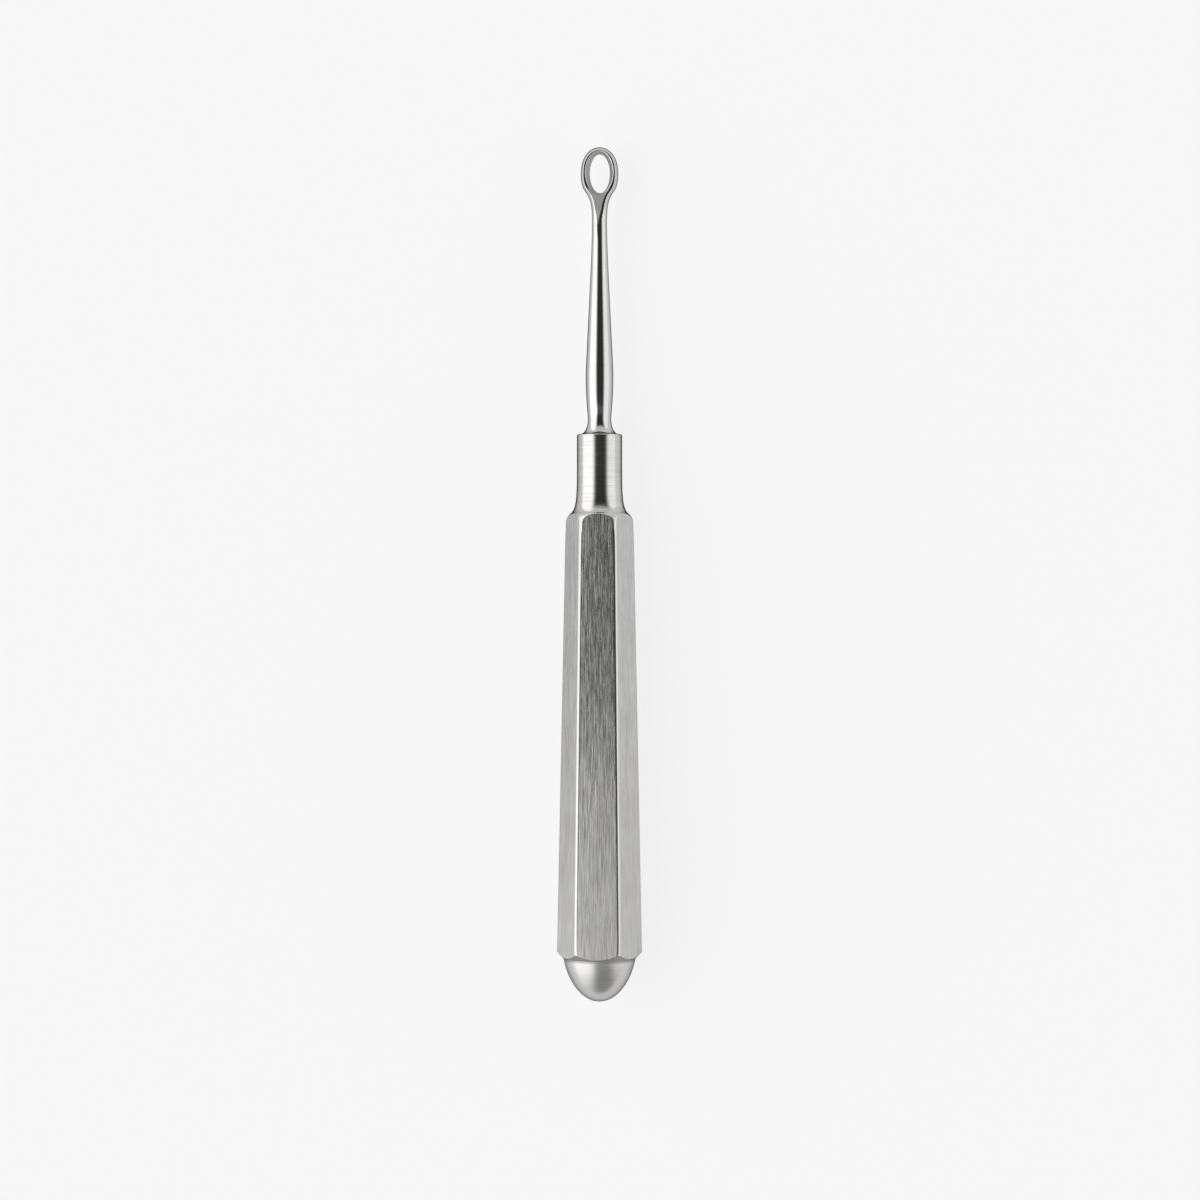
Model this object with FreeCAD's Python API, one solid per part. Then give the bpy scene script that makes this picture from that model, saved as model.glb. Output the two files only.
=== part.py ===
import FreeCAD, Part
import math
import os

from FreeCAD import Vector

# A dermal curette in one piece: a tapered hexagonal handle with a domed butt, a turned collar,
# a slender bulged shank and a small loop with a tapered oval window and ground faces.
# Millimetres. While it is built, Y runs along the axis from the butt dome to the loop tip,
# X runs across, and +Z is the side with the loop's sharp rim.

# Lengths along the axis, from the butt dome to the tip of the loop
DOME_LENGTH = 7.08
HANDLE_LENGTH = 72.92
FLARE_LENGTH = 7.0
COLLAR_LENGTH = 5.95
FOOT_LENGTH = 2.55
WAIST_TO_BULGE = 6.8
BULGE_TO_TAPER = 2.1
TAPER_LENGTH = 14.5
TAPER_TO_NECK = 8.9
NECK_TO_WIDEST = 7.9
WIDEST_TO_TIP = 4.3

# Hexagonal handle
FLATS_WIDTH_AT_BUTT = 12.26
FLATS_WIDTH_AT_FLARE = 9.77
CORNER_ROUND = 0.55
FACET_COUNT = 6

# Turned ends of the handle: the dome starts a step inside the flats, and the round that
# leaves the scalloped facet ends starts a little inside the sharp corners
DOME_STEP_DEPTH = 0.22
DOME_BASE_SLOPE = 0.17
ROUND_LENGTH = 3.6
ROUND_BITE_DEPTH = 0.085
ROUND_START_SLOPE = -0.168
FLARE_STEP_DEPTH = 0.156
FLARE_START_SLOPE = -1.188

# Collar and shank, as radii
COLLAR_RADIUS = 3.71
SHOULDER_ROUND = 0.24
SHOULDER_WIDTH = 0.41
WAIST_RADIUS = 1.915
BULGE_RADIUS = 2.26
TAPER_START_RADIUS = 2.206
TAPER_END_RADIUS = 1.50
NECK_RADIUS = 1.215

# Loop: its blank is an oval section, ground flat in front and behind
LOOP_HALF_WIDTH = 3.07
BLANK_HALF_DEPTH = 2.25
LOOP_THICKNESS = 2.35
RUN_OUT_BACK = 0.2
RUN_OUT_RADIUS = 40.0

# Walls round the loop's window, on the sharp front face and on the blunt back face
SIDE_WALL_FRONT = 0.74
SIDE_WALL_BACK = 1.46
TIP_WALL_FRONT = 0.76
TIP_WALL_BACK = 1.06
WEB_FRONT = 4.52
WEB_BACK = 4.86
WINDOW_BACK_ROUND = 0.15

# How strongly each outline curve holds its end directions, as shares of its chord
DOME_HOLDS = (0.326, 0.391)
ROUND_HOLDS = (0.465, 0.405)
FLARE_HOLDS = (0.157, 0.646)
FOOT_HOLDS = (0.114, 0.741)
BULGE_HOLDS = (0.122, 0.543)
CREST_HOLDS = (0.333, 0.333)
NECK_HOLDS = (0.2, 0.296)
FLANK_HOLDS = (0.745, 0.524)
CROWN_HOLDS = (0.596, 0.256)

# Stations along the axis, one after another
DOME_BASE_AT = DOME_LENGTH
FLARE_AT = DOME_BASE_AT + HANDLE_LENGTH
COLLAR_AT = FLARE_AT + FLARE_LENGTH
SHOULDER_AT = COLLAR_AT + COLLAR_LENGTH
WAIST_AT = SHOULDER_AT + FOOT_LENGTH
BULGE_AT = WAIST_AT + WAIST_TO_BULGE
TAPER_START_AT = BULGE_AT + BULGE_TO_TAPER
TAPER_END_AT = TAPER_START_AT + TAPER_LENGTH
NECK_AT = TAPER_END_AT + TAPER_TO_NECK
WIDEST_AT = NECK_AT + NECK_TO_WIDEST
TIP_AT = WIDEST_AT + WIDEST_TO_TIP

ALONG = Vector(0, 1, 0)
ACROSS = Vector(1, 0, 0)
FRONTWARD = Vector(0, 0, 1)
AXIS_POINT = Vector(0, 0, 0)
FULL_TURN = 360.0
CIRCLE_SPANS = 8
CLOSE = 1e-4


def rim_point(at, radius):
    """A point of the turned outline: distance along the axis and radius."""
    return Vector(radius, at, 0)


def heading(slope):
    """A unit direction along the outline with the given rise in radius per length."""
    return Vector(slope, 1, 0).normalize()


def cubic(start, start_way, end, end_way, holds):
    """A cubic outline curve that leaves start and reaches end in the given directions."""
    chord = start.distanceToPoint(end)
    curve = Part.BezierCurve()
    leaving = start + start_way * holds[0] * chord
    arriving = end - end_way * holds[1] * chord
    curve.setPoles([start, leaving, arriving, end])
    return curve


def flats_radius(at):
    """Distance from the axis to a flat of the tapered hexagon at a station."""
    share = (at - DOME_BASE_AT) / HANDLE_LENGTH
    return (FLATS_WIDTH_AT_BUTT + share * (FLATS_WIDTH_AT_FLARE - FLATS_WIDTH_AT_BUTT)) / 2


def corner_radius(at):
    """Distance from the axis to a sharp corner of the tapered hexagon at a station."""
    return flats_radius(at) / math.cos(math.pi / FACET_COUNT)


def dome_and_chamfer():
    """The butt dome and the turned chamfer that runs out past the hexagon's corners."""
    base = rim_point(DOME_BASE_AT, flats_radius(DOME_BASE_AT) - DOME_STEP_DEPTH)
    dome = cubic(rim_point(0, 0), ACROSS, base, heading(DOME_BASE_SLOPE), DOME_HOLDS)
    rise = corner_radius(DOME_BASE_AT) + CORNER_ROUND - base.x
    chamfer = Part.LineSegment(base, base + Vector(rise, rise, 0))
    return [dome, chamfer]


def facet_end_and_flare():
    """The convex round that scallops the facets, and the concave flare down to the collar."""
    round_at = FLARE_AT - ROUND_LENGTH
    start = rim_point(round_at, corner_radius(round_at) - ROUND_BITE_DEPTH)
    turn = rim_point(FLARE_AT, flats_radius(FLARE_AT) - FLARE_STEP_DEPTH)
    end = rim_point(COLLAR_AT, COLLAR_RADIUS)
    steepest = heading(FLARE_START_SLOPE)
    facet_end = cubic(start, heading(ROUND_START_SLOPE), turn, steepest, ROUND_HOLDS)
    return [facet_end, cubic(turn, steepest, end, ALONG, FLARE_HOLDS)]


def shoulder():
    """The collar's small quarter round and the flat shoulder inside it."""
    centre = rim_point(SHOULDER_AT - SHOULDER_ROUND, COLLAR_RADIUS - SHOULDER_ROUND)
    start = centre + ACROSS * SHOULDER_ROUND
    middle = centre + (ACROSS + ALONG).normalize() * SHOULDER_ROUND
    end = centre + ALONG * SHOULDER_ROUND
    foot = rim_point(SHOULDER_AT, COLLAR_RADIUS - SHOULDER_WIDTH)
    return [Part.Arc(start, middle, end), Part.LineSegment(end, foot)]


def shank():
    """The concave foot on the shoulder, the bulge, the long straight taper and the neck."""
    foot = rim_point(SHOULDER_AT, COLLAR_RADIUS - SHOULDER_WIDTH)
    waist = rim_point(WAIST_AT, WAIST_RADIUS)
    bulge = rim_point(BULGE_AT, BULGE_RADIUS)
    taper_start = rim_point(TAPER_START_AT, TAPER_START_RADIUS)
    taper_end = rim_point(TAPER_END_AT, TAPER_END_RADIUS)
    neck = rim_point(NECK_AT, NECK_RADIUS)
    tapering = (taper_end - taper_start).normalize()
    return [
        cubic(foot, -ACROSS, waist, ALONG, FOOT_HOLDS),
        cubic(waist, ALONG, bulge, ALONG, BULGE_HOLDS),
        cubic(bulge, ALONG, taper_start, tapering, CREST_HOLDS),
        Part.LineSegment(taper_start, taper_end),
        cubic(taper_end, tapering, neck, ALONG, NECK_HOLDS),
    ]


def outline():
    """Every curve of the turned outline, closed with straight lines where pieces don't meet."""
    curves = dome_and_chamfer() + facet_end_and_flare() + shoulder() + shank()
    axis_ends = [rim_point(NECK_AT, 0), rim_point(0, 0)]
    joined = []
    for curve in curves:
        start = curve.value(curve.FirstParameter)
        if joined:
            last = joined[-1].value(joined[-1].LastParameter)
            if last.distanceToPoint(start) > CLOSE:
                joined.append(Part.LineSegment(last, start))
        joined.append(curve)
    for point in axis_ends:
        last = joined[-1].value(joined[-1].LastParameter)
        joined.append(Part.LineSegment(last, point))
    return Part.Wire([curve.toShape() for curve in joined])


def turned_body():
    return Part.Face(outline()).revolve(AXIS_POINT, ALONG, FULL_TURN)


def hexagon_corners(at):
    radius = corner_radius(at)
    angles = [math.tau * n / FACET_COUNT for n in range(FACET_COUNT)]
    return [Vector(radius * math.cos(a), at, radius * math.sin(a)) for a in angles]


def closed_face(points):
    return Part.Face(Part.makePolygon(points + [points[0]]))


def hexagonal_stock():
    """The tapered hexagonal bar with rounded corners that gives the handle its flats."""
    start = hexagon_corners(-DOME_LENGTH)
    end = hexagon_corners(TIP_AT)
    faces = [closed_face(start), closed_face(end)]
    for n in range(FACET_COUNT):
        after = (n + 1) % FACET_COUNT
        faces.append(closed_face([start[n], start[after], end[after], end[n]]))
    bar = Part.Solid(Part.Shell(faces))
    corners = [edge for edge in bar.Edges if edge.Length > TIP_AT]
    return bar.makeFillet(CORNER_ROUND, corners)


def oval_skin(curve, depth_at_axis, depth_gain):
    """The surface swept by an oval cross section along an outline curve. Its half width is the
    curve's radius, and its half depth is depth_at_axis plus depth_gain times that radius."""
    turns = [math.tau * n / CIRCLE_SPANS for n in range(CIRCLE_SPANS + 1)]
    between = 1.0 / math.cos(math.tau / CIRCLE_SPANS)
    reaches = [between if n % 2 else 1.0 for n in range(CIRCLE_SPANS + 1)]
    poles = []
    for pole in curve.getPoles():
        depth = depth_at_axis + depth_gain * pole.x
        ring = []
        for turn, reach in zip(turns, reaches):
            x = pole.x * math.cos(turn) * reach
            z = depth * math.sin(turn) * reach
            ring.append(Vector(x, pole.y, z))
        poles.append(ring)
    weights = [[1.0 / reach for reach in reaches] for _ in poles]
    around = list(range(CIRCLE_SPANS // 2 + 1))
    repeats = [3] + [2] * (len(around) - 2) + [3]
    skin = Part.BSplineSurface()
    skin.buildFromPolesMultsKnots(
        poles, [4, 4], repeats, [0, 1], around, False, False, 3, 2, weights
    )
    return skin.toShape()


def loop_blank():
    """The unground loop: an oval-sectioned egg that grows out of the round neck."""
    neck = rim_point(NECK_AT, NECK_RADIUS)
    widest = rim_point(WIDEST_AT, LOOP_HALF_WIDTH)
    flank = cubic(neck, ALONG, widest, ALONG, FLANK_HOLDS)
    crown = cubic(widest, ALONG, rim_point(TIP_AT, 0), -ACROSS, CROWN_HOLDS)
    flank_gain = (BLANK_HALF_DEPTH - NECK_RADIUS) / (LOOP_HALF_WIDTH - NECK_RADIUS)
    neck_disc = Part.Face(Part.Wire(Part.makeCircle(NECK_RADIUS, Vector(0, NECK_AT, 0), ALONG)))
    skins = Part.Compound([
        oval_skin(flank, NECK_RADIUS - flank_gain * NECK_RADIUS, flank_gain),
        oval_skin(crown, 0.0, BLANK_HALF_DEPTH / LOOP_HALF_WIDTH),
        neck_disc,
    ])
    skins.sewShape(CLOSE)
    return Part.Solid(Part.Shell(skins.Faces))


def ground_away(side):
    """What is ground off one face of the loop: a flat that runs out in an arc at the neck."""
    block = FLATS_WIDTH_AT_BUTT
    reach = math.acos((RUN_OUT_RADIUS - block / 2) / RUN_OUT_RADIUS)

    def arc_point(angle):
        at = NECK_AT - RUN_OUT_BACK - RUN_OUT_RADIUS * math.sin(angle)
        lift = RUN_OUT_RADIUS - RUN_OUT_RADIUS * math.cos(angle)
        return Vector(-block / 2, at, side * (LOOP_THICKNESS / 2 + lift))

    flat_end = arc_point(0)
    far_end = Vector(flat_end.x, TIP_AT + block, flat_end.z)
    far_top = far_end + FRONTWARD * (side * block / 2)
    edges = [
        Part.Arc(arc_point(reach), arc_point(reach / 2), flat_end).toShape(),
        Part.makeLine(flat_end, far_end),
        Part.makeLine(far_end, far_top),
        Part.makeLine(far_top, arc_point(reach)),
    ]
    return Part.Face(Part.Wire(edges)).extrude(ACROSS * block)


def oval(half_width, low, high, height):
    """A closed oval at a height, as wide as stated and reaching from low to high."""
    stretch = FreeCAD.Matrix()
    stretch.scale(Vector(half_width, (high - low) / 2, 1.0))
    stretch.move(Vector(0, (high + low) / 2, height))
    return Part.Wire(Part.makeCircle(1.0, AXIS_POINT, FRONTWARD).transformGeometry(stretch))


def window_oval(height):
    """The window's outline at a height, on the taper from the back face to the front face."""
    share = height / LOOP_THICKNESS + 0.5
    side_wall = SIDE_WALL_BACK + share * (SIDE_WALL_FRONT - SIDE_WALL_BACK)
    tip_wall = TIP_WALL_BACK + share * (TIP_WALL_FRONT - TIP_WALL_BACK)
    web = WEB_BACK + share * (WEB_FRONT - WEB_BACK)
    return oval(LOOP_HALF_WIDTH - side_wall, NECK_AT + web, TIP_AT - tip_wall, height)


def window():
    return Part.makeLoft([window_oval(-BLANK_HALF_DEPTH), window_oval(BLANK_HALF_DEPTH)], True, True)


def is_window_back_edge(edge):
    """True for the closed edge where the window meets the back face."""
    box = edge.BoundBox
    back = -LOOP_THICKNESS / 2
    return edge.isClosed() and abs(box.ZMin - back) < CLOSE and abs(box.ZMax - back) < CLOSE


def loop():
    blank = loop_blank()
    for side in (1, -1):
        blank = blank.cut(ground_away(side))
    ring = blank.cut(window())
    back_edges = [edge for edge in ring.Edges if is_window_back_edge(edge)]
    return ring.makeFillet(WINDOW_BACK_ROUND, back_edges)


def handle_and_shank():
    body = turned_body().common(hexagonal_stock())
    for side in (1, -1):
        body = body.cut(ground_away(side))
    return body


def laid_down(shape):
    """Turns the piece to lie flush on the facet behind the loop, centred over the origin."""
    lean = math.atan((FLATS_WIDTH_AT_BUTT - FLATS_WIDTH_AT_FLARE) / 2 / HANDLE_LENGTH)
    rested = shape.copy()
    rested.rotate(AXIS_POINT, ACROSS, -math.degrees(lean))
    rise = flats_radius(0) * math.cos(lean)
    rested.translate(Vector(0, -TIP_AT / 2 * math.cos(lean), rise))
    return rested


def curette():
    return laid_down(handle_and_shank().fuse(loop()).removeSplitter())


os.makedirs("parts", exist_ok=True)
curette().Solids[0].exportStep("parts/curette.step")
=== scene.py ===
"""A dermal curette in steel: turned and faceted handle, slender shank and ground loop."""

import logging
import math
from dataclasses import dataclass
from enum import Enum
from typing import Any, Mapping, Optional, Sequence, Tuple, Union

import bpy
from mathutils import Matrix, Vector


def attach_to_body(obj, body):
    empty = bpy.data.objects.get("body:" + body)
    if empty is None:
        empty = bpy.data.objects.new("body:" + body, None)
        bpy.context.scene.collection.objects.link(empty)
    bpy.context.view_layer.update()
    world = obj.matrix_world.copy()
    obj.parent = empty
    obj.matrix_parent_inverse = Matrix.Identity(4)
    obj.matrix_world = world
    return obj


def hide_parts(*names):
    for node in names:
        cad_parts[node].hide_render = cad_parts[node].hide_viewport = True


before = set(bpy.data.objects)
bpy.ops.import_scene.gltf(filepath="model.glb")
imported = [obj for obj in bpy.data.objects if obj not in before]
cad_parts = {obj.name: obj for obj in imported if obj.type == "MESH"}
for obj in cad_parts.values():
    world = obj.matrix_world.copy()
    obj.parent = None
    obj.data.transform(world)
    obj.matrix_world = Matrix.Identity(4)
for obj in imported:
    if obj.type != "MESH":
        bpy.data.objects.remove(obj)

LOG = logging.getLogger("curette")
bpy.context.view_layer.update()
MM = 0.001
FULL_TURN = 2 * math.pi
WELD = 1e-4
QUARTER_HOLD = 0.3905
THIRDS = (1 / 3, 1 / 3)
SHARP_ANGLE = math.radians(30.0)

Term = Union["Wire", float]
Point = Tuple[float, float]


class Wire:
    """A node's output that takes part in Python arithmetic."""

    def __init__(self, bench: "Bench", socket: bpy.types.NodeSocket) -> None:
        """Keeps the output and the tree it belongs to.

        Args:
            bench: the tree that new Math nodes go into.
            socket: the output that is wrapped.
        """
        self.bench = bench
        self.socket = socket

    def __add__(self, other: Term) -> "Wire":
        """This plus other."""
        return self.bench.math("ADD", self, other)

    def __radd__(self, other: Term) -> "Wire":
        """Other plus this."""
        return self.bench.math("ADD", other, self)

    def __sub__(self, other: Term) -> "Wire":
        """This minus other."""
        return self.bench.math("SUBTRACT", self, other)

    def __rsub__(self, other: Term) -> "Wire":
        """Other minus this."""
        return self.bench.math("SUBTRACT", other, self)

    def __mul__(self, other: Term) -> "Wire":
        """This times other."""
        return self.bench.math("MULTIPLY", self, other)

    def __rmul__(self, other: Term) -> "Wire":
        """Other times this."""
        return self.bench.math("MULTIPLY", other, self)

    def __truediv__(self, other: Term) -> "Wire":
        """This divided by other."""
        return self.bench.math("DIVIDE", self, other)

    def __rtruediv__(self, other: Term) -> "Wire":
        """Other divided by this."""
        return self.bench.math("DIVIDE", other, self)

    def __lt__(self, other: Term) -> "Wire":
        """1 where this is less than other, or 0."""
        return self.bench.math("LESS_THAN", self, other)

    def __gt__(self, other: Term) -> "Wire":
        """1 where this is more than other, or 0."""
        return self.bench.math("GREATER_THAN", self, other)


class Bench:
    """A node tree that nodes are added to by type, settings and sockets."""

    def __init__(self, tree: bpy.types.NodeTree) -> None:
        """Starts with the tree's own nodes cleared away.

        Args:
            tree: the tree to build in.
        """
        self.tree = tree
        self.tree.nodes.clear()

    def add(
        self,
        kind: str,
        settings: Optional[Mapping[str, Any]] = None,
        sockets: Optional[Mapping[Any, Any]] = None,
    ) -> bpy.types.Node:
        """Adds one node.

        Args:
            kind: the node's type.
            settings: its properties, which are set first.
            sockets: values or links of its inputs, by identifier, name or number.

        Returns:
            The new node.
        """
        node = self.tree.nodes.new(kind)
        for name, value in (settings or {}).items():
            setattr(node, name, value)
        for key, value in (sockets or {}).items():
            socket = self._find(node.inputs, key)
            if isinstance(value, Wire):
                self.tree.links.new(value.socket, socket)
            else:
                socket.default_value = value
        return node

    def wire(
        self,
        kind: str,
        settings: Optional[Mapping[str, Any]] = None,
        sockets: Optional[Mapping[Any, Any]] = None,
        output: Any = 0,
    ) -> Wire:
        """Adds one node and wraps one of its outputs.

        Args:
            kind: the node's type.
            settings: its properties.
            sockets: values or links of its inputs.
            output: the output's identifier, name or number.

        Returns:
            The wrapped output.
        """
        return self.output(self.add(kind, settings, sockets), output)

    def output(self, node: bpy.types.Node, key: Any) -> Wire:
        """Wraps one output of a node."""
        return Wire(self, self._find(node.outputs, key))

    def math(self, operation: str, *terms: Term) -> Wire:
        """Adds a Math node.

        Args:
            operation: its operation.
            terms: its inputs, in order.

        Returns:
            Its value.
        """
        return self.wire("ShaderNodeMath", {"operation": operation}, dict(enumerate(terms)))

    def step(self, value: Term, low: float, high: float) -> Wire:
        """A smooth step from 0 at low to 1 at high.

        Args:
            value: what is mapped.
            low: where the step starts; more than high for a falling step.
            high: where it ends.

        Returns:
            The step's height.
        """
        ends = (low, high, 0.0, 1.0) if low < high else (high, low, 1.0, 0.0)
        names = ("From Min", "From Max", "To Min", "To Max")
        settings = {"interpolation_type": "SMOOTHSTEP"}
        sockets = {"Value": value, **dict(zip(names, ends))}
        return self.wire("ShaderNodeMapRange", settings, sockets)

    def blend(self, share: Term, first: Any, second: Any) -> Wire:
        """A colour between two colours."""
        sockets = {"Factor_Float": share, "A_Color": first, "B_Color": second}
        return self.wire("ShaderNodeMix", {"data_type": "RGBA"}, sockets, "Result_Color")

    def soft_min(self, first: Term, second: Term, softness: Term) -> Wire:
        """The lesser of two values, with the corner between them rounded."""
        return self.math("SMOOTH_MIN", first, second, softness)

    def split(self, vector: Wire) -> Tuple[Wire, Wire, Wire]:
        """The three numbers of a vector."""
        node = self.add("ShaderNodeSeparateXYZ", sockets={0: vector})
        return self.output(node, 0), self.output(node, 1), self.output(node, 2)

    def join(self, x: Term, y: Term, z: Term) -> Wire:
        """A vector of three numbers."""
        return self.wire("ShaderNodeCombineXYZ", sockets={0: x, 1: y, 2: z})

    @staticmethod
    def _find(sockets: Any, key: Any) -> bpy.types.NodeSocket:
        """A socket by its identifier, name or number."""
        if isinstance(key, int):
            return sockets[key]
        for socket in sockets:
            if socket.identifier == key:
                return socket
        return sockets[key]


@dataclass(frozen=True)
class Hexagon:
    """The handle's tapered hexagon, in millimetres."""

    starts_at: float = 7.08
    length: float = 72.92
    flats_at_butt: float = 12.26
    flats_at_flare: float = 9.77
    corner_round: float = 0.55

    @property
    def ends_at(self) -> float:
        """The station where the hexagon ends."""
        return self.starts_at + self.length

    def flats_radius(self, at: float) -> float:
        """Distance from the axis to a flat at a station."""
        share = (at - self.starts_at) / self.length
        return (self.flats_at_butt + share * (self.flats_at_flare - self.flats_at_butt)) / 2

    def corner_radius(self, at: float) -> float:
        """Distance from the axis to a sharp corner at a station."""
        return self.flats_radius(at) / math.cos(math.pi / 6)


@dataclass(frozen=True)
class Lie:
    """How the curette lies: its axis leans so that one facet is flush with the floor.

    Pieces are drawn in millimetres with the axis along Y from the butt dome, and Z to the front.
    """

    length: float = 140.0
    hexagon: Hexagon = Hexagon()

    @property
    def lean(self) -> float:
        """How far the axis leans, in radians."""
        narrowing = self.hexagon.flats_at_butt - self.hexagon.flats_at_flare
        return math.atan(narrowing / 2 / self.hexagon.length)

    @property
    def rise(self) -> float:
        """Height of the butt's end of the axis over the floor."""
        return self.hexagon.flats_radius(0.0) * math.cos(self.lean)

    @property
    def place(self) -> Vector:
        """Where the butt's end of the axis goes, in metres."""
        return Vector((0.0, -self.length / 2 * math.cos(self.lean), self.rise)) * MM

    @property
    def turn(self) -> Tuple[float, float, float]:
        """How the drawn piece is turned."""
        return (-self.lean, 0.0, 0.0)

    def lay_down(self, bench: Bench, mesh: Wire) -> Wire:
        """Brings a drawn mesh to its place in the row frame.

        Args:
            bench: the tree that holds the mesh.
            mesh: the mesh as drawn, in millimetres.

        Returns:
            The mesh in place, in metres.
        """
        sockets = {
            "Geometry": mesh,
            "Translation": self.place,
            "Rotation": self.turn,
            "Scale": (MM, MM, MM),
        }
        return bench.wire("GeometryNodeTransform", sockets=sockets)

    def drawn_place(self, bench: Bench) -> Wire:
        """A material's Object coordinates, turned back to the drawn piece in millimetres."""
        coordinates = bench.wire("ShaderNodeTexCoord", output="Object")
        sockets = {
            "Vector": coordinates,
            "Location": self.place,
            "Rotation": self.turn,
            "Scale": (MM, MM, MM),
        }
        return bench.wire("ShaderNodeMapping", {"vector_type": "TEXTURE"}, sockets)


LIE = Lie()


@dataclass(frozen=True)
class Stretch:
    """One cubic stretch of a turned outline, from one (station, radius) to the next.

    The ways are (along, outward) directions at its ends, and the holds say how far it keeps
    them, as shares of its chord.
    """

    start: Point
    start_way: Point
    end: Point
    end_way: Point
    holds: Point
    rows: int

    def pulls(self) -> Tuple[Point, Point]:
        """The two inner control points."""
        chord = math.dist(self.start, self.end)
        pulled = []
        ends = ((self.start, self.start_way, 1.0), (self.end, self.end_way, -1.0))
        for (at, way, sign), hold in zip(ends, self.holds):
            reach = sign * hold * chord / math.hypot(*way)
            pulled.append((at[0] + way[0] * reach, at[1] + way[1] * reach))
        return pulled[0], pulled[1]


def straight(start: Point, end: Point, rows: int) -> Stretch:
    """A straight stretch of outline."""
    way = (end[0] - start[0], end[1] - start[1])
    return Stretch(start, way, end, way, THIRDS, rows)


class Outline:
    """A turned outline as a curve, for a Geometry Nodes tree to read."""

    def __init__(self, name: str, stretches: Sequence[Stretch]) -> None:
        """Draws the curve, with X as radius and Y as station.

        Args:
            name: the curve's name.
            stretches: its stretches, in order.
        """
        data = bpy.data.curves.new(name, "CURVE")
        data.dimensions = "3D"
        for stretch in stretches:
            inner = stretch.pulls()
            spline = data.splines.new("BEZIER")
            spline.bezier_points.add(1)
            spline.resolution_u = stretch.rows
            ends = (stretch.start, stretch.end)
            for point, end, pull in zip(spline.bezier_points, ends, inner):
                point.handle_left_type = point.handle_right_type = "FREE"
                point.co = (end[1], end[0], 0.0)
                point.handle_left = point.handle_right = (pull[1], pull[0], 0.0)
        self.object = bpy.data.objects.new(name, data)
        bpy.context.scene.collection.objects.link(self.object)

    def clear(self) -> None:
        """Removes the curve once the pieces made from it are baked."""
        bpy.data.objects.remove(self.object)


@dataclass
class Sheet:
    """A grid that is rolled up into a turned surface."""

    mesh: Wire
    around: Wire
    station: Wire
    radius: Wire


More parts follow.
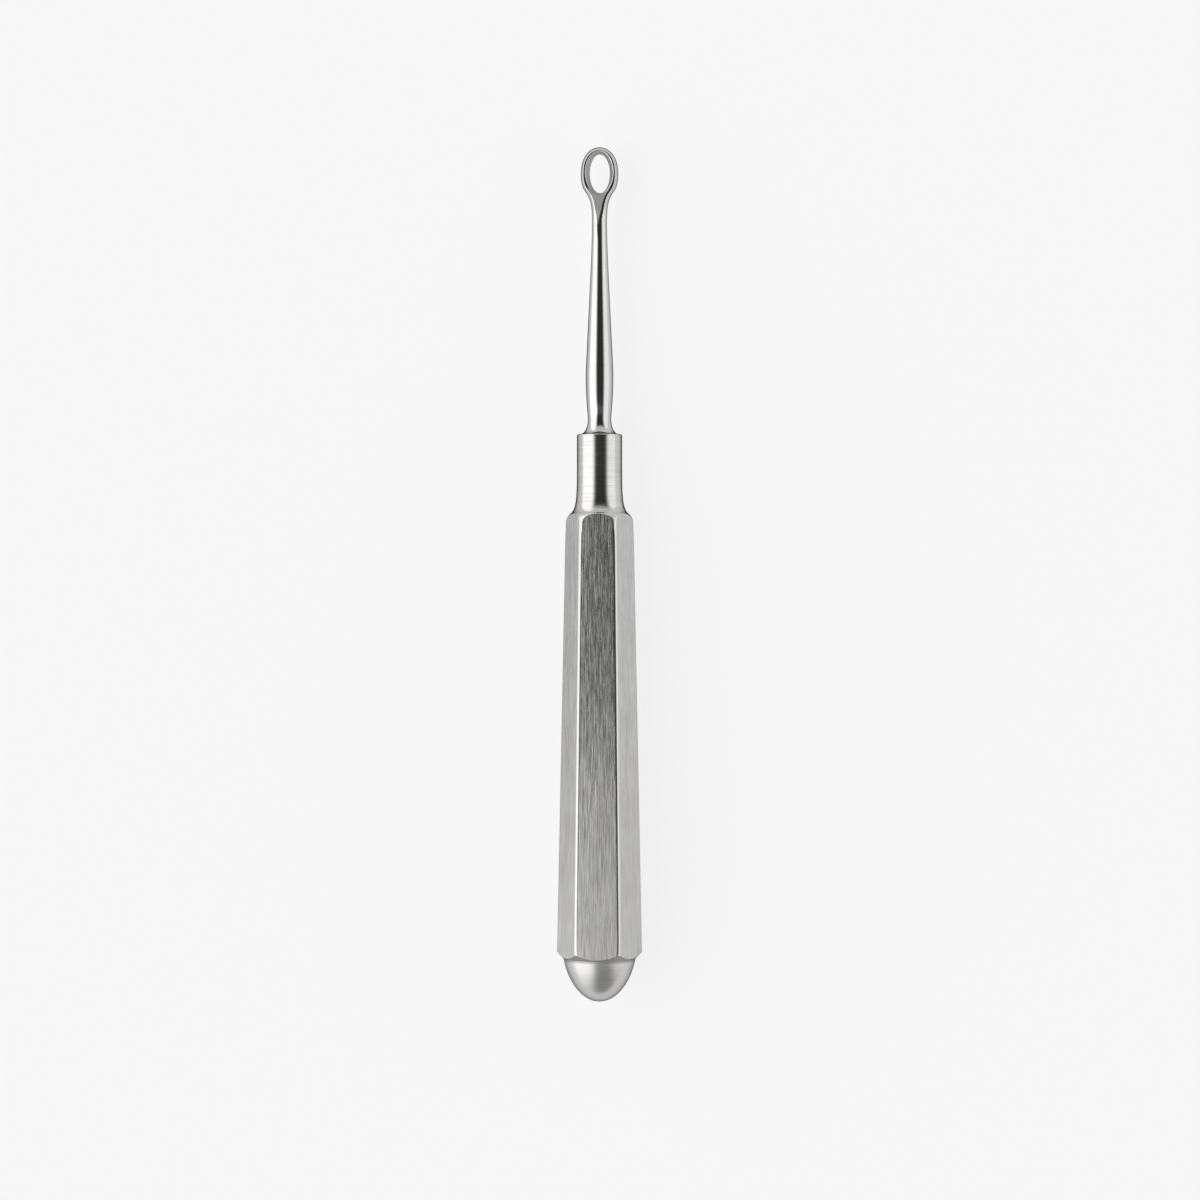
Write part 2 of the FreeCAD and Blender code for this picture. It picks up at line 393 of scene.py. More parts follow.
class Recipe(Bench):
    """A Geometry Nodes tree with named inputs, which makes one piece."""

    def __init__(self, name: str) -> None:
        """Starts an empty tree.

        Args:
            name: the tree's name.
        """
        super().__init__(bpy.data.node_groups.new(name, "GeometryNodeTree"))
        interface = self.tree.interface
        interface.new_socket("Geometry", in_out="OUTPUT", socket_type="NodeSocketGeometry")
        self.entry = self.tree.nodes.new("NodeGroupInput")
        self.given: dict[str, Any] = {}

    def ask(self, name: str, value: Any, kind: str = "NodeSocketFloat") -> Wire:
        """Adds a named input.

        Args:
            name: what the input is called.
            value: what it is set to.
            kind: its socket type.

        Returns:
            The input's value inside the tree.
        """
        socket = self.tree.interface.new_socket(name, in_out="INPUT", socket_type=kind)
        self.given[socket.identifier] = value
        return self.output(self.entry, socket.identifier)

    def sheet(self, outline: Outline, columns: int) -> Sheet:
        """A flat grid with a row for each point of an outline.

        Args:
            outline: the turned outline.
            columns: how many columns go round.

        Returns:
            The grid, and for each of its points the share of a turn, station and radius.
        """
        drawn = self.wire(
            "GeometryNodeObjectInfo",
            sockets={"Object": self.ask("Outline", outline.object, "NodeSocketObject")},
            output="Geometry",
        )
        points = self.wire("GeometryNodeCurveToPoints", {"mode": "EVALUATED"}, {"Curve": drawn})
        rows = self.wire(
            "GeometryNodeAttributeDomainSize",
            {"component": "POINTCLOUD"},
            {"Geometry": points},
            "Point Count",
        )
        count = self.ask("Columns", columns, "NodeSocketInt")
        mesh = self.wire(
            "GeometryNodeMeshGrid",
            sockets={"Size X": 1.0, "Size Y": 1.0, "Vertices X": count + 1.0, "Vertices Y": rows},
        )
        place = self.wire("GeometryNodeInputPosition")
        x, y, _ = self.split(place)
        row = self.math("ROUND", (y + 0.5) * (rows - 1.0))
        sampled = self.wire(
            "GeometryNodeSampleIndex",
            {"data_type": "FLOAT_VECTOR", "domain": "POINT"},
            {"Geometry": points, "Value": place, "Index": row},
        )
        radius, station, _ = self.split(sampled)
        return Sheet(mesh, x + 0.5, station, radius)

    def roll(self, sheet: Sheet, place: Wire) -> Wire:
        """Moves a sheet's points to their places and closes its seam and poles."""
        sockets = {"Geometry": sheet.mesh, "Position": place}
        moved = self.wire("GeometryNodeSetPosition", sockets=sockets)
        sockets = {"Geometry": moved, "Distance": WELD}
        return self.wire("GeometryNodeMergeByDistance", sockets=sockets)

    def keep(self, mesh: Wire, name: str, value: Wire) -> Wire:
        """Stores a number on the points of a mesh."""
        settings = {"data_type": "FLOAT", "domain": "POINT"}
        sockets = {"Geometry": mesh, "Name": name, "Value": value}
        return self.wire("GeometryNodeStoreNamedAttribute", settings, sockets)

    def kept(self, name: str) -> Wire:
        """A number that was stored on the points."""
        return self.wire("GeometryNodeInputNamedAttribute", {"data_type": "FLOAT"}, {"Name": name})

    def coat(self, mesh: Wire, material: bpy.types.Material, where: Optional[Wire] = None) -> Wire:
        """Gives faces their material.

        Args:
            mesh: the mesh.
            material: the material.
            where: 1 on the faces that get it; all of them if it is left out.

        Returns:
            The mesh with its material.
        """
        sockets = {"Geometry": mesh, "Material": material}
        if where is not None:
            sockets["Selection"] = where
        return self.wire("GeometryNodeSetMaterial", sockets=sockets)

    def bake(self, name: str, mesh: Wire) -> bpy.types.Object:
        """Ends the tree, runs it once and keeps its result as a plain mesh.

        Args:
            name: the piece's name.
            mesh: what the tree makes.

        Returns:
            The piece, with no modifier left on it.
        """
        self.add("NodeGroupOutput", sockets={0: mesh})
        piece = bpy.data.objects.new(name, bpy.data.meshes.new(name))
        bpy.context.scene.collection.objects.link(piece)
        modifier = piece.modifiers.new(name, "NODES")
        modifier.node_group = self.tree
        for identifier, value in self.given.items():
            modifier[identifier] = value
        graph = bpy.context.evaluated_depsgraph_get()
        baked = bpy.data.meshes.new_from_object(piece.evaluated_get(graph), depsgraph=graph)
        piece.modifiers.clear()
        piece.data = baked
        baked.name = name
        baked.shade_smooth()
        baked.set_sharp_from_angle(angle=SHARP_ANGLE)
        return piece


class Lay(Enum):
    """Which way the fine lines of a finish run, as shrink factors of a drawn place."""

    ALONG = (1.0, 1 / 40, 1.0)
    AROUND = (1 / 25, 1.0, 1 / 25)
    LEVEL = (1 / 20, 1 / 20, 1.0)
    SHORT = (1.0, 1 / 6, 1.0)


@dataclass
class Surface:
    """What a finish puts on one place: its colour, roughness and height of relief."""

    tone: Wire
    rough: Wire
    height: Wire


NOISE_MEAN = 0.5
NOISE_DETAIL = 2.0
NOISE_ROUGHNESS = 0.6
CLOUD_WIDTH = 5.0
CLOUD_SHARE = 0.2
DARKEST = 0.4
BRIGHTEST = 1.6
BUTTWARD = (62.0, 5.0)


@dataclass(frozen=True)
class Steel:
    """Stainless steel with one finish, whose lines come in three widths in millimetres.

    The finish grows rougher towards the butt by its butt gain.
    """

    name: str
    colour: Tuple[float, float, float]
    roughness: float
    lay: Lay
    line_widths: Tuple[float, float, float]
    line_shares: Tuple[float, float, float]
    line_depth: float
    colour_contrast: float
    rough_contrast: float
    edge_tint: float = 0.6
    butt_gain: float = 0.0

    @staticmethod
    def noise(bench: Bench, place: Wire, width: float) -> Wire:
        """Noise about zero, whose grains are about a width across.

        Args:
            bench: the material's tree.
            place: where it is read, in millimetres.
            width: the grains' width in millimetres.

        Returns:
            The noise, mostly within a quarter of zero.
        """
        sockets = {
            "Vector": place,
            "Scale": 1.0 / width,
            "Detail": NOISE_DETAIL,
            "Roughness": NOISE_ROUGHNESS,
        }
        return bench.wire("ShaderNodeTexNoise", None, sockets) - NOISE_MEAN

    def surface(self, bench: Bench, place: Wire) -> Surface:
        """Lays the finish over a place.

        Args:
            bench: the material's tree.
            place: the drawn place in millimetres.

        Returns:
            What the finish puts there.
        """
        lined = bench.wire(
            "ShaderNodeVectorMath", {"operation": "MULTIPLY"}, {0: place, 1: self.lay.value}
        )
        lines: Term = 0.0
        for width, share in zip(self.line_widths, self.line_shares):
            lines = self.noise(bench, lined, width) * share + lines
        clouds = self.noise(bench, place, CLOUD_WIDTH)
        cloud_contrast = self.colour_contrast * CLOUD_SHARE
        shade = 0.5 + lines * self.colour_contrast + clouds * cloud_contrast
        dark = tuple(c * DARKEST for c in self.colour) + (1.0,)
        bright = tuple(min(1.0, c * BRIGHTEST) for c in self.colour) + (1.0,)
        tone = bench.blend(shade, dark, bright)
        rough = self.roughness * (1.0 + lines * self.rough_contrast)
        if self.butt_gain:
            station = bench.split(place)[1]
            rough = rough * (1.0 + self.butt_gain * bench.step(station, *BUTTWARD))
        return Surface(tone, rough, lines * (self.line_depth * MM))

    def material(self, other: Optional["Steel"] = None, where: str = "") -> bpy.types.Material:
        """Makes the material.

        Args:
            other: a second finish that takes over on part of the piece.
            where: the piece's attribute that is 1 there.

        Returns:
            The material.
        """
        material = bpy.data.materials.new(self.name)
        material.use_nodes = True
        bench = Bench(material.node_tree)
        place = LIE.drawn_place(bench)
        mine = self.surface(bench, place)
        if other is not None:
            theirs = other.surface(bench, place)
            mask = bench.wire("ShaderNodeAttribute", {"attribute_name": where}, output="Fac")
            mine.tone = bench.blend(mask, mine.tone, theirs.tone)
            mine.rough = mine.rough + mask * (theirs.rough - mine.rough)
            mine.height = mine.height + mask * (theirs.height - mine.height)
        bump = bench.wire("ShaderNodeBump", sockets={"Height": mine.height, "Distance": 1.0})
        tint = (self.edge_tint, self.edge_tint, self.edge_tint, 1.0)
        shader = bench.wire(
            "ShaderNodeBsdfPrincipled",
            sockets={
                "Base Color": mine.tone,
                "Metallic": 1.0,
                "Roughness": mine.rough,
                "Normal": bump,
                "Specular Tint": tint,
            },
        )
        bench.add("ShaderNodeOutputMaterial", sockets={"Surface": shader})
        return material


DOMED = Steel(
    name="satin_butt",
    colour=(0.6, 0.595, 0.58),
    roughness=0.29,
    lay=Lay.AROUND,
    line_widths=(0.12, 0.3, 0.9),
    line_shares=(0.3, 0.4, 0.3),
    line_depth=0.01,
    colour_contrast=0.4,
    rough_contrast=0.6,
    edge_tint=0.2,
)
# Painted shade: a darker steel colour past the dome's base, chiefly on the chamfer in the step
# under the facets' ends, stands for the shade in that corner; its roughness is the finish's own.
PAINTED_ROOT_SHADE = Steel(
    name="painted_shade_root",
    colour=(0.36, 0.355, 0.345),
    roughness=0.42,
    lay=Lay.AROUND,
    line_widths=(0.12, 0.3, 0.9),
    line_shares=(0.3, 0.4, 0.3),
    line_depth=0.01,
    colour_contrast=0.4,
    rough_contrast=0.6,
    edge_tint=0.3,
)
BRUSHED = Steel(
    name="brushed_facets",
    colour=(0.58, 0.575, 0.565),
    roughness=0.25,
    lay=Lay.ALONG,
    line_widths=(0.13, 0.3, 0.85),
    line_shares=(0.65, 0.27, 0.08),
    line_depth=0.06,
    colour_contrast=0.85,
    rough_contrast=1.8,
    edge_tint=0.25,
    butt_gain=0.85,
)
RIDGE = Steel(
    name="worn_ridges",
    colour=(0.58, 0.575, 0.57),
    roughness=0.15,
    lay=Lay.ALONG,
    line_widths=(0.14, 0.36, 0.9),
    line_shares=(0.4, 0.4, 0.2),
    line_depth=0.004,
    colour_contrast=0.2,
    rough_contrast=0.4,
    edge_tint=0.3,
)
TURNED = Steel(
    name="turned_collar",
    colour=(0.58, 0.575, 0.56),
    roughness=0.14,
    lay=Lay.AROUND,
    line_widths=(0.1, 0.25, 0.8),
    line_shares=(0.5, 0.3, 0.2),
    line_depth=0.018,
    colour_contrast=0.6,
    rough_contrast=1.4,
    edge_tint=0.0,
)
POLISHED = Steel(
    name="polished_shank",
    colour=(0.6, 0.595, 0.585),
    roughness=0.09,
    lay=Lay.AROUND,
    line_widths=(0.15, 0.4, 1.2),
    line_shares=(0.4, 0.3, 0.3),
    line_depth=0.002,
    colour_contrast=0.15,
    rough_contrast=0.5,
    edge_tint=0.0,
)
GROUND = Steel(
    name="ground_window",
    colour=(0.56, 0.555, 0.545),
    roughness=0.3,
    lay=Lay.LEVEL,
    line_widths=(0.08, 0.2, 0.5),
    line_shares=(0.4, 0.4, 0.2),
    line_depth=0.012,
    colour_contrast=0.8,
    rough_contrast=1.0,
    edge_tint=0.3,
)
HONED = Steel(
    name="honed_web",
    colour=(0.54, 0.535, 0.53),
    roughness=0.45,
    lay=Lay.SHORT,
    line_widths=(0.1, 0.25, 0.6),
    line_shares=(0.5, 0.3, 0.2),
    line_depth=0.03,
    colour_contrast=0.5,
    rough_contrast=0.6,
    edge_tint=0.5,
)


@dataclass
class Handle:
    """The domed butt, the tapered hexagon, the flare and the collar, as one turned piece."""

    hexagon: Hexagon = Hexagon()
    dome_inset: float = 0.22
    round_length: float = 3.6
    round_bite: float = 0.085
    flare_inset: float = 0.156
    flare_length: float = 7.0
    collar_length: float = 5.95
    collar_radius: float = 3.71
    shoulder_round: float = 0.24
    shoulder_width: float = 0.41
    columns: int = 288
    softness: float = 0.1
    roll_off: float = 0.07
    crown_share: float = 0.5
    edge_power: float = 6.0
    side_share: float = 0.2
    ridge_fade: Point = (0.45, 0.24)
    ridge_spread: float = 0.055
    spread_rise: Point = (7.3, 9.3)
    spread_fall: Point = (80.0, 75.0)
    # Where the painted shade at the dome's root fades in, as distances before the hexagon's start.
    root_shade_fade: Point = (0.5, 0.2)
    dome_way: Point = (1.0, 0.17)
    dome_holds: Point = (0.326, 0.391)
    round_way: Point = (1.0, -0.168)
    round_holds: Point = (0.465, 0.405)
    flare_way: Point = (1.0, -1.188)
    flare_holds: Point = (0.157, 0.646)

    @property
    def shoulder_at(self) -> float:
        """The station of the collar's flat shoulder."""
        return self.hexagon.ends_at + self.flare_length + self.collar_length

    def stretches(self) -> list[Stretch]:
        """The outline, from the dome's pole to the inside of the shoulder."""
        bar = self.hexagon
        base = (bar.starts_at, bar.flats_radius(bar.starts_at) - self.dome_inset)
        climb = bar.corner_radius(base[0]) + bar.corner_round - base[1]
        chamfered = (base[0] + climb, base[1] + climb)
        rounding_at = bar.ends_at - self.round_length
        rounding = (rounding_at, bar.corner_radius(rounding_at) - self.round_bite)
        turn = (bar.ends_at, bar.flats_radius(bar.ends_at) - self.flare_inset)
        collar = (bar.ends_at + self.flare_length, self.collar_radius)
        edge = (self.shoulder_at - self.shoulder_round, self.collar_radius)
        brow = (self.shoulder_at, self.collar_radius - self.shoulder_round)
        quarter = QUARTER_HOLD
        return [
            Stretch((0.0, 0.0), (0, 1), base, self.dome_way, self.dome_holds, rows=48),
            straight(base, chamfered, rows=48),
            straight(chamfered, rounding, rows=24),
            Stretch(rounding, self.round_way, turn, self.flare_way, self.round_holds, rows=96),
            Stretch(turn, self.flare_way, collar, (1, 0), self.flare_holds, rows=48),
            straight(collar, edge, rows=12),
            Stretch(edge, (1, 0), brow, (0, -1), (quarter, quarter), rows=12),
            straight(brow, (self.shoulder_at, 0.0), rows=6),
        ]

    def build(self) -> bpy.types.Object:
        """Rolls the outline up and cuts the facets by taking the lesser radius."""
        recipe = Recipe("Faceted handle")
        outline = Outline("handle_outline", self.stretches())
        sheet = recipe.sheet(outline, self.columns)
        butt = recipe.ask("Flats at butt", self.hexagon.flats_at_butt)
        flare = recipe.ask("Flats at flare", self.hexagon.flats_at_flare)
        start = recipe.ask("Dome length", self.hexagon.starts_at)
        length = recipe.ask("Handle length", self.hexagon.length)
        rounding = recipe.ask("Corner round", self.hexagon.corner_round)
        softness = recipe.ask("Edge softness", self.softness)
        share = (sheet.station - start) / length
        flat = (butt + share * (flare - butt)) * 0.5
        rolled = recipe.ask("Facet roll-off", self.roll_off)
        turn, radius, beside = self.facets(recipe, sheet.around, flat, rounding, rolled)
        lesser = recipe.soft_min(sheet.radius, radius, softness)
        sine = recipe.math("SINE", turn)
        past_dome = recipe.step(sheet.station, *self.spread_rise)
        before_flare = recipe.step(sheet.station, *self.spread_fall)
        on_bar = past_dome * before_flare
        spread = recipe.ask("Ridge spread", self.ridge_spread) * on_bar
        across = lesser * recipe.math("COSINE", turn) * (1.0 + spread * sine * sine)
        place = recipe.join(across, sheet.station, lesser * sine)
        ridge = recipe.step(beside, *self.ridge_fade)
        # Painted shade: 'root' is 1 past the dome's base, where the darker steel stands for the
        # shade under the facets' ends.
        shade_from, shade_to = (self.hexagon.starts_at - before for before in self.root_shade_fade)
        root = recipe.step(sheet.station, shade_from, shade_to)
        sheet.mesh = recipe.keep(sheet.mesh, "ridge", ridge)
        sheet.mesh = recipe.keep(sheet.mesh, "root", root)
        sheet.mesh = recipe.keep(sheet.mesh, "faceted", radius < sheet.radius)
        sheet.mesh = recipe.keep(sheet.mesh, "station", sheet.station)
        mesh = LIE.lay_down(recipe, recipe.roll(sheet, place))
        piece = recipe.bake("handle", self.dress(recipe, mesh))
        outline.clear()
        return piece

    def facets(
        self, recipe: Recipe, around: Wire, flat: Wire, rounding: Wire, rolled: Wire
    ) -> Tuple[Wire, Wire, Wire]:
        """The angle of each column and the radius of the round-cornered hexagon there.

        The columns stand closer together near the ridges.

        Args:
            recipe: the handle's tree.
            around: the share of a turn, 0 to 1.
            flat: distance from the axis to the flats.
            rounding: radius of the corners' rounding.
            rolled: how far a facet has rolled off at its edges.

        Returns:
            The angle in radians, the radius, and the distance from the nearest ridge.
        """
        half = math.pi / 6
        sixths = around * 6.0
        sector = recipe.math("FLOOR", sixths)
        across = (sixths - sector) * 2.0 - 1.0
        spread = across * (1.5 - 0.5 * across * across)
        turn = (sector * 2.0 + 1.0 + spread) * -half
        from_middle = recipe.math("ABSOLUTE", spread) * half
        from_corner = half - from_middle
        centre = (flat - rounding) / math.cos(half)
        beside = centre * recipe.math("SINE", from_corner)
        inside = recipe.math("MAXIMUM", rounding * rounding - beside * beside, 0.0)
        rounded = centre * recipe.math("COSINE", from_corner) + recipe.math("SQRT", inside)
        joint_out = centre + rounding * math.cos(half)
        joint = recipe.math("ARCTAN2", rounding * math.sin(half), joint_out)
        at_corner = from_corner < joint
        plain = flat / recipe.math("COSINE", from_middle)
        sharp = plain + at_corner * (rounded - plain)
        edgeward = recipe.math("TANGENT", from_middle) / math.tan(half)
        sharply = recipe.math("POWER", edgeward, self.edge_power)
        crowned = self.crown_share * edgeward * edgeward + (1.0 - self.crown_share) * sharply
        steep = recipe.math("ABSOLUTE", recipe.math("SINE", turn))
        off_side = self.side_share + (1.0 - self.side_share) * steep
        radius = sharp - rolled * crowned * off_side
        return turn, radius, sharp * recipe.math("SINE", from_corner)

    def dress(self, recipe: Recipe, mesh: Wire) -> Wire:
        """Gives the dome, the facets and the turned end their finishes, with painted shade past the
        dome's base.
        """
        # The dome's steel turns to the darker painted shade where 'root' is 1.
        mesh = recipe.coat(mesh, DOMED.material(PAINTED_ROOT_SHADE, "root"))
        on_facets = recipe.kept("faceted") > 0.5
        mesh = recipe.coat(mesh, BRUSHED.material(RIDGE, "ridge"), on_facets)
        near_flare = recipe.kept("station") > self.hexagon.ends_at - self.round_length
        turned = near_flare * (1.0 - on_facets)
        mesh = recipe.coat(mesh, TURNED.material(), turned)
        return recipe.wire("GeometryNodeRealizeInstances", sockets={"Geometry": mesh})


@dataclass
class ShankAndLoop:
    """The shank from the collar's shoulder on, and the loop with its ground faces and window."""

    shoulder_at: float
    foot_radius: float
    waist_at: float = 95.5
    waist_radius: float = 1.915
    bulge_at: float = 102.3
    bulge_radius: float = 2.26
    taper_from: Point = (104.4, 2.206)
    taper_to: Point = (118.9, 1.50)
    neck_at: float = 127.8
    neck_radius: float = 1.215
    widest_at: float = 135.7
    half_width: float = 3.07
    half_depth: float = 2.25
    tip_at: float = 140.0
    thickness: float = 2.35
    run_out_back: float = 0.2
    run_out_radius: float = 40.0
    run_out_reach: float = 30.0
    side_walls: Point = (1.46, 0.84)
    tip_walls: Point = (1.06, 0.76)
    webs: Point = (4.86, 4.52)
    back_round: float = 0.15
    front_round: float = 0.16
    edge_round: float = 0.02
    crest_round: float = 0.05
    crest_rise: Point = (129.0, 134.0)
    polished_strip: float = 0.37
    honed_rise: Point = (126.6, 128.4)
    honed_fall: Point = (134.0, 132.6)
    honed_fade: float = 0.06
    web_fullness: float = 0.155
    web_lean: float = 0.53
    web_rise: Point = (127.8, 130.2)
    web_fall: Point = (134.0, 131.0)
    foot_holds: Point = (0.114, 0.741)
    waist_holds: Point = (0.122, 0.543)
    neck_holds: Point = (0.2, 0.296)
    flank_holds: Point = (0.745, 0.524)
    crown_holds: Point = (0.596, 0.256)
    rooted: float = 0.3
    columns: int = 288
    window_columns: int = 160
    overshoot: float = 1.0
    closed: float = -0.5

    def stretches(self) -> list[Stretch]:
        """The outline, from the shoulder to the tip."""
        foot = (self.shoulder_at, self.foot_radius)
        root = (self.shoulder_at - self.rooted, self.foot_radius)
        waist = (self.waist_at, self.waist_radius)
        bulge = (self.bulge_at, self.bulge_radius)
        neck = (self.neck_at, self.neck_radius)
        widest = (self.widest_at, self.half_width)
        tip = (self.tip_at, 0.0)
        tapering = (self.taper_to[0] - self.taper_from[0], self.taper_to[1] - self.taper_from[1])
        return [
            straight((root[0], 0.0), root, rows=4),
            straight(root, foot, rows=1),
            Stretch(foot, (0, -1), waist, (1, 0), self.foot_holds, rows=40),
            Stretch(waist, (1, 0), bulge, (1, 0), self.waist_holds, rows=24),
            Stretch(bulge, (1, 0), self.taper_from, tapering, THIRDS, rows=10),
            straight(self.taper_from, self.taper_to, rows=30),
            Stretch(self.taper_to, tapering, neck, (1, 0), self.neck_holds, rows=30),
            Stretch(neck, (1, 0), widest, (1, 0), self.flank_holds, rows=70),
            Stretch(widest, (1, 0), tip, (0, -1), self.crown_holds, rows=64),
        ]

    def window_profile(self) -> list[Stretch]:
        """The window cutter's profile: how far it stands out from the window's taper, by height."""
        half = self.thickness / 2
        far = half + self.overshoot
        back, front = self.back_round, self.front_round
        quarter = QUARTER_HOLD
        back_in = (-half + back, 0.0)
        front_in = (half - front, 0.0)
        return [
            straight((-far, self.closed), (-far, back), rows=1),
            straight((-far, back), (-half, back), rows=1),
            Stretch((-half, back), (0, -1), back_in, (1, 0), (quarter, quarter), rows=8),
            straight(back_in, front_in, rows=12),
            Stretch(front_in, (1, 0), (half, front), (0, 1), (quarter, quarter), rows=6),
            straight((half, front), (far, front), rows=1),
            straight((far, front), (far, self.closed), rows=1),
        ]

    def build(self) -> bpy.types.Object:
        """Rolls the outline up with oval sections, grinds both faces and cuts the window."""
        recipe = Recipe("Shank and loop")
        outline = Outline("shank_outline", self.stretches())
        cutter = Outline("window_profile", self.window_profile())
        sheet = recipe.sheet(outline, self.columns)
        turn = sheet.around * -FULL_TURN
        depth = self.depth(recipe, sheet, turn)
        limit = self.ground_height(recipe, sheet.station)
        ring = recipe.step(sheet.station, *self.crest_rise)
        softness = self.edge_round + self.crest_round * ring
        rise = depth * recipe.math("SINE", turn)
        height = recipe.soft_min(recipe.math("ABSOLUTE", rise), limit, softness)
        across = sheet.radius * recipe.math("COSINE", turn)
        place = recipe.join(across, sheet.station, height * recipe.math("SIGN", rise))
        honed = self.honed(recipe, sheet, limit / depth, across, rise)
        sheet.mesh = recipe.keep(sheet.mesh, "honed", honed)
        blank = recipe.coat(recipe.roll(sheet, place), POLISHED.material(HONED, "honed"))
        window = recipe.coat(self.window(recipe, cutter), GROUND.material())
        cut = recipe.wire(
            "GeometryNodeMeshBoolean",
            {"operation": "DIFFERENCE", "solver": "EXACT"},
            {"Mesh 1": blank, "Mesh 2": window},
        )
        placed = LIE.lay_down(recipe, cut)
        realized = recipe.wire("GeometryNodeRealizeInstances", sockets={"Geometry": placed})
        piece = recipe.bake("shank_and_loop", realized)
        outline.clear()
        cutter.clear()
        return piece

    def honed(
        self, recipe: Recipe, sheet: Sheet, ground: Wire, across: Wire, rise: Wire
    ) -> Wire:
        """Where the web's front flat is honed matte, short of a polished strip on its right.

        Args:
            recipe: the shank's tree.
            sheet: the rolled-up sheet.
            ground: height of the ground face as a share of the section's half depth.
            across: how far each point is from the middle plane.
            rise: its height before grinding.

        Returns:
            1 where the flat is honed.
        """
        inside = recipe.math("MAXIMUM", 1.0 - ground * ground, 0.0)
        edge = sheet.radius * recipe.math("SQRT", inside)
        fade = self.honed_fade
        on_right = recipe.step(edge - self.polished_strip - across, -fade, fade)
        on_left = recipe.step(across + edge, 0.0, fade)
        past_neck = recipe.step(sheet.station, *self.honed_rise)
        before_window = recipe.step(sheet.station, *self.honed_fall)
        on_flat = (rise > 0.0) * (ground < 1.0)
        return on_right * on_left * past_neck * before_window * on_flat

    def depth(self, recipe: Recipe, sheet: Sheet, turn: Wire) -> Wire:
        """Half the depth of the oval section, from round at the neck to full at the loop.

        Args:
            recipe: the shank's tree.
            sheet: the rolled-up sheet.
            turn: the angle of each column.

        Returns:
            The half depth, a little more at the web and most on its right.
        """
        neck = recipe.ask("Neck radius", self.neck_radius)
        width = recipe.ask("Loop half width", self.half_width)
        deep = recipe.ask("Loop half depth", self.half_depth)
        gain = (deep - neck) / (width - neck)
        flank = neck + gain * (sheet.radius - neck)
        crown = sheet.radius * deep / width
        on_loop = sheet.station > self.neck_at
        on_crown = sheet.station > self.widest_at
        looped = flank + on_crown * (crown - flank)
        past_neck = recipe.step(sheet.station, *self.web_rise)
        before_ring = recipe.step(sheet.station, *self.web_fall)
        lean = 1.0 + self.web_lean * recipe.math("COSINE", turn)
        fullness = recipe.ask("Web fullness", self.web_fullness) * past_neck * before_ring * lean
        return sheet.radius + on_loop * (looped - sheet.radius) + fullness

    def ground_height(self, recipe: Recipe, station: Wire) -> Wire:
        """Height of the ground faces, which run out in an arc at the neck."""
        radius = recipe.ask("Run-out radius", self.run_out_radius)
        half = recipe.ask("Loop thickness", self.thickness) * 0.5
        start = self.neck_at - self.run_out_back
        longest = self.run_out_reach
        before = recipe.math("MINIMUM", recipe.math("MAXIMUM", start - station, 0.0), longest)
        return half + radius - recipe.math("SQRT", radius * radius - before * before)

    def window(self, recipe: Recipe, cutter: Outline) -> Wire:
        """The cutter of the window: an oval that tapers from the back face to the front one."""
        sheet = recipe.sheet(cutter, self.window_columns)
        turn = sheet.around * -FULL_TURN
        share = sheet.station / self.thickness + 0.5
        side = self.side_walls[0] + share * (self.side_walls[1] - self.side_walls[0])
        tip = self.tip_walls[0] + share * (self.tip_walls[1] - self.tip_walls[0])
        web = self.webs[0] + share * (self.webs[1] - self.webs[0])
        low = self.neck_at + web
        high = self.tip_at - tip
        solid = sheet.radius > self.closed / 2
        half_width = (self.half_width - side + sheet.radius) * solid
        half_length = ((high - low) * 0.5 + sheet.radius) * solid
        place = recipe.join(
            half_width * recipe.math("COSINE", turn),
            (high + low) * 0.5 - half_length * recipe.math("SINE", turn),
            sheet.station,
        )
        return recipe.roll(sheet, place)


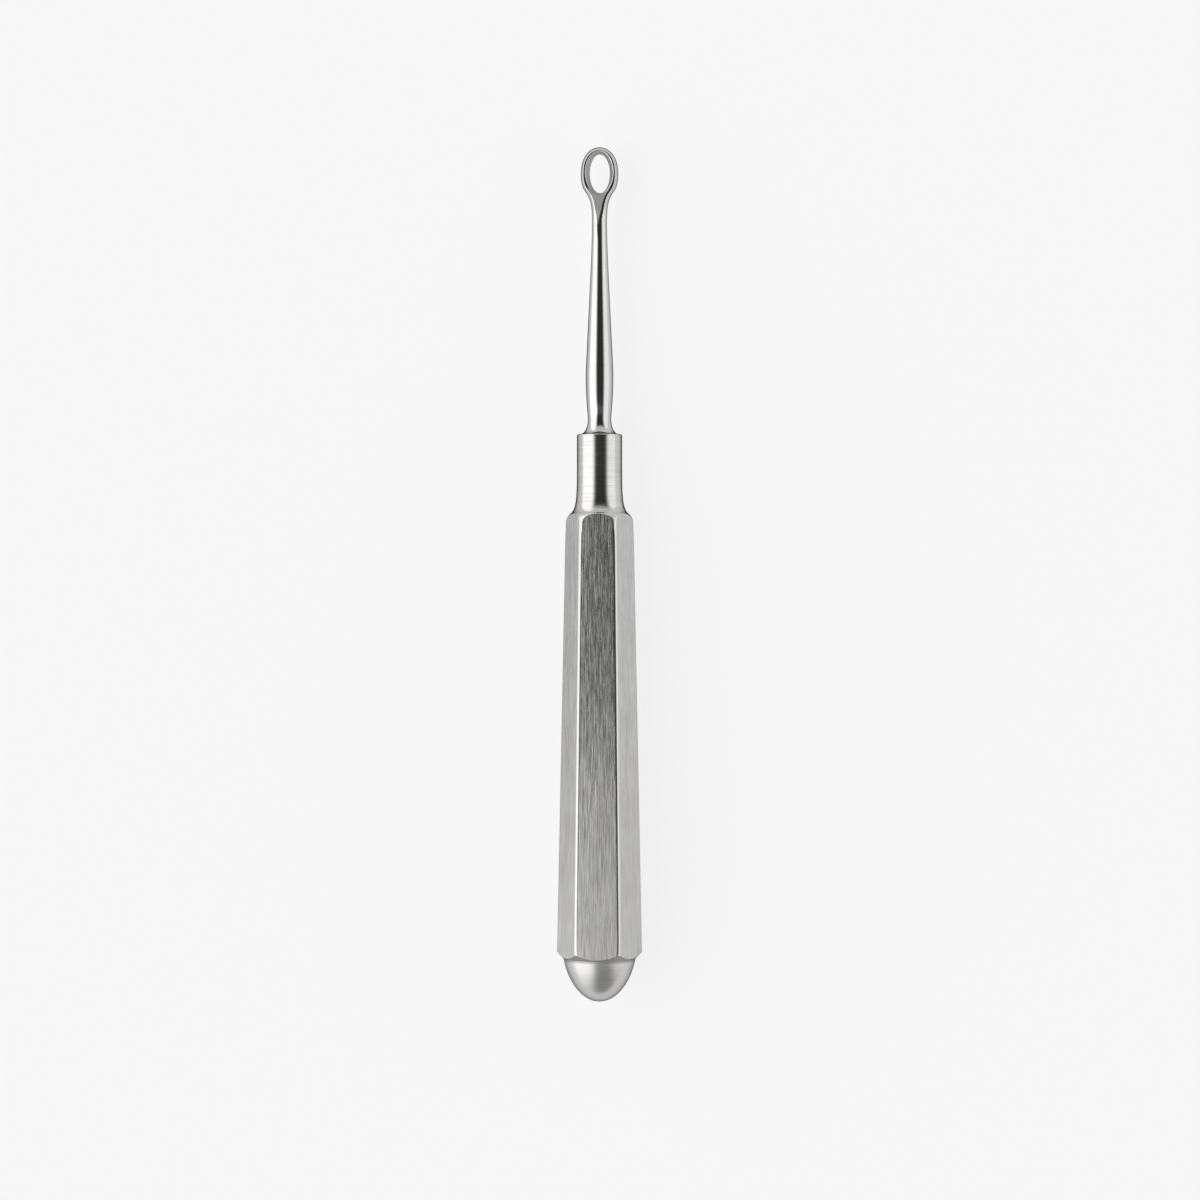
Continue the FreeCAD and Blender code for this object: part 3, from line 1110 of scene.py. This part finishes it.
@dataclass(frozen=True)
class Tent:
    """A light tent with bright sides and a dark opening overhead, where the camera looks in.

    Its edges are told by the direction's x, to the right, or y, to the loop: an edge starts at
    its first number and is complete at its second. Losses and gains are taken from or added to
    the level of the middle or of a side.
    """

    left_edge: Point = (-0.21, -0.59)
    right_edge: Point = (0.5, 0.82)
    butt_edge: Point = (-0.3, -0.44)
    horizon_edge: Point = (-0.6, -0.92)
    loop_edge: Point = (0.0, 0.4)
    slant: float = 0.22
    slant_edge: Point = (-0.04, -0.18)
    slant_butt_loss: float = 0.07
    middle: float = 1.3
    middle_butt_loss: float = 0.94
    middle_loop_loss: float = 0.37
    left: float = 2.05
    left_gain: float = 0.9
    left_gain_edge: Point = (0.05, -0.22)
    left_butt_loss: float = 1.1
    left_horizon_loss: float = 0.9
    right: float = 1.6
    right_butt_loss: float = 0.55
    right_horizon_loss: float = 0.45
    opening_from: Point = (-0.22, -0.08)
    opening_to: Point = (0.8, 0.42)
    opening_glow: float = 0.05

    def build(self) -> bpy.types.World:
        """Makes the world that holds the tent."""
        world = bpy.data.worlds.new("light_tent")
        world.use_nodes = True
        bench = Bench(world.node_tree)
        x, y, z = bench.split(bench.wire("ShaderNodeTexCoord", output="Generated"))
        near_butt = bench.step(y, *self.butt_edge)
        far_butt = bench.step(y, *self.horizon_edge)
        slant = self.slant * bench.step(y, *self.slant_edge) - self.slant_butt_loss * near_butt
        on_left = bench.step(x - slant, *self.left_edge)
        on_right = bench.step(x, *self.right_edge)
        loopward = self.middle_loop_loss * bench.step(y, *self.loop_edge)
        middle = self.middle - self.middle_butt_loss * near_butt - loopward
        left = self.left + self.left_gain * bench.step(y, *self.left_gain_edge)
        left = left - self.left_butt_loss * near_butt - self.left_horizon_loss * far_butt
        right = self.right - self.right_butt_loss * near_butt - self.right_horizon_loss * far_butt
        sides = middle + on_left * (left - middle) + on_right * (right - middle)
        across = (1.0 - on_left) * (1.0 - on_right)
        along = bench.step(y, *self.opening_from) * bench.step(y, *self.opening_to)
        opening = across * along * (z > 0.0)
        glow = sides * (1.0 - opening) + self.opening_glow * opening
        shader = bench.wire("ShaderNodeBackground", sockets={"Strength": glow})
        bench.add("ShaderNodeOutputWorld", sockets={"Surface": shader})
        return world


@dataclass
class Studio:
    """The pale floor, the soft light and the camera."""

    eye: Tuple[float, float, float] = (35.2, 65.8, 575.9)
    aim: Tuple[float, float, float] = (0.08, 65.8, 0.0)
    lens: float = 105.6
    floor_size: float = 6.0
    floor_tone: float = 0.9
    floor_paleness: float = 0.98
    floor_share: float = 0.8
    floor_drop: float = 0.1
    tent: Tent = Tent()

    def build(self) -> None:
        """Makes the floor, the light and the camera."""
        self.floor()
        bpy.context.scene.world = self.tent.build()
        self.camera()
        bpy.context.scene.view_settings.view_transform = "Standard"

    def floor(self) -> None:
        """A plain pale floor just under the curette."""
        half = self.floor_size / 2
        low = -self.floor_drop * MM
        corners = [(-half, -half, low), (half, -half, low), (half, half, low), (-half, half, low)]
        mesh = bpy.data.meshes.new("floor")
        mesh.from_pydata(corners, [], [(0, 1, 2, 3)])
        material = bpy.data.materials.new("pale_floor")
        material.use_nodes = True
        material.cycles.emission_sampling = "NONE"
        bench = Bench(material.node_tree)
        tone = self.floor_tone
        lit = bench.wire("ShaderNodeBsdfDiffuse", sockets={"Color": (tone, tone, tone, 1.0)})
        pale = bench.wire("ShaderNodeEmission", sockets={"Strength": self.floor_paleness})
        path = bench.add("ShaderNodeLightPath")
        rays = ("Is Camera Ray", "Is Glossy Ray", "Is Transmission Ray")
        seen, mirrored, through = (bench.output(path, name) for name in rays)
        share = (seen + mirrored + through) * self.floor_share
        shader = bench.wire("ShaderNodeMixShader", sockets={0: share, 1: lit, 2: pale})
        bench.add("ShaderNodeOutputMaterial", sockets={"Surface": shader})
        mesh.materials.append(material)
        floor = bpy.data.objects.new("floor", mesh)
        bpy.context.scene.collection.objects.link(floor)

    def camera(self) -> None:
        """The camera above the curette, with the loop at the top of the picture."""
        data = bpy.data.cameras.new("camera")
        data.lens = self.lens
        camera = bpy.data.objects.new("camera", data)
        laid = Matrix.Rotation(-LIE.lean, 4, "X")
        eye = LIE.place + laid @ Vector(self.eye) * MM
        back = (laid @ (Vector(self.eye) - Vector(self.aim))).normalized()
        right = (laid @ Vector((0.0, 1.0, 0.0))).cross(back).normalized()
        up = back.cross(right)
        turn = Matrix((right, up, back)).transposed().to_4x4()
        camera.matrix_world = Matrix.Translation(eye) @ turn
        bpy.context.scene.collection.objects.link(camera)
        bpy.context.scene.camera = camera


def attach(piece: bpy.types.Object) -> None:
    """Puts a finished piece on the frame and reports it.

    Args:
        piece: the finished piece.
    """
    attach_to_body(piece, "root")
    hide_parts("curette")
    LOG.info("%s: %d faces", piece.name, len(piece.data.polygons))


def main() -> None:
    """Builds the curette and the studio."""
    logging.basicConfig(level=logging.INFO)
    Studio().build()
    handle = Handle()
    attach(handle.build())
    foot = handle.collar_radius - handle.shoulder_width
    attach(ShankAndLoop(shoulder_at=handle.shoulder_at, foot_radius=foot).build())


if __name__ == "__main__":
    main()
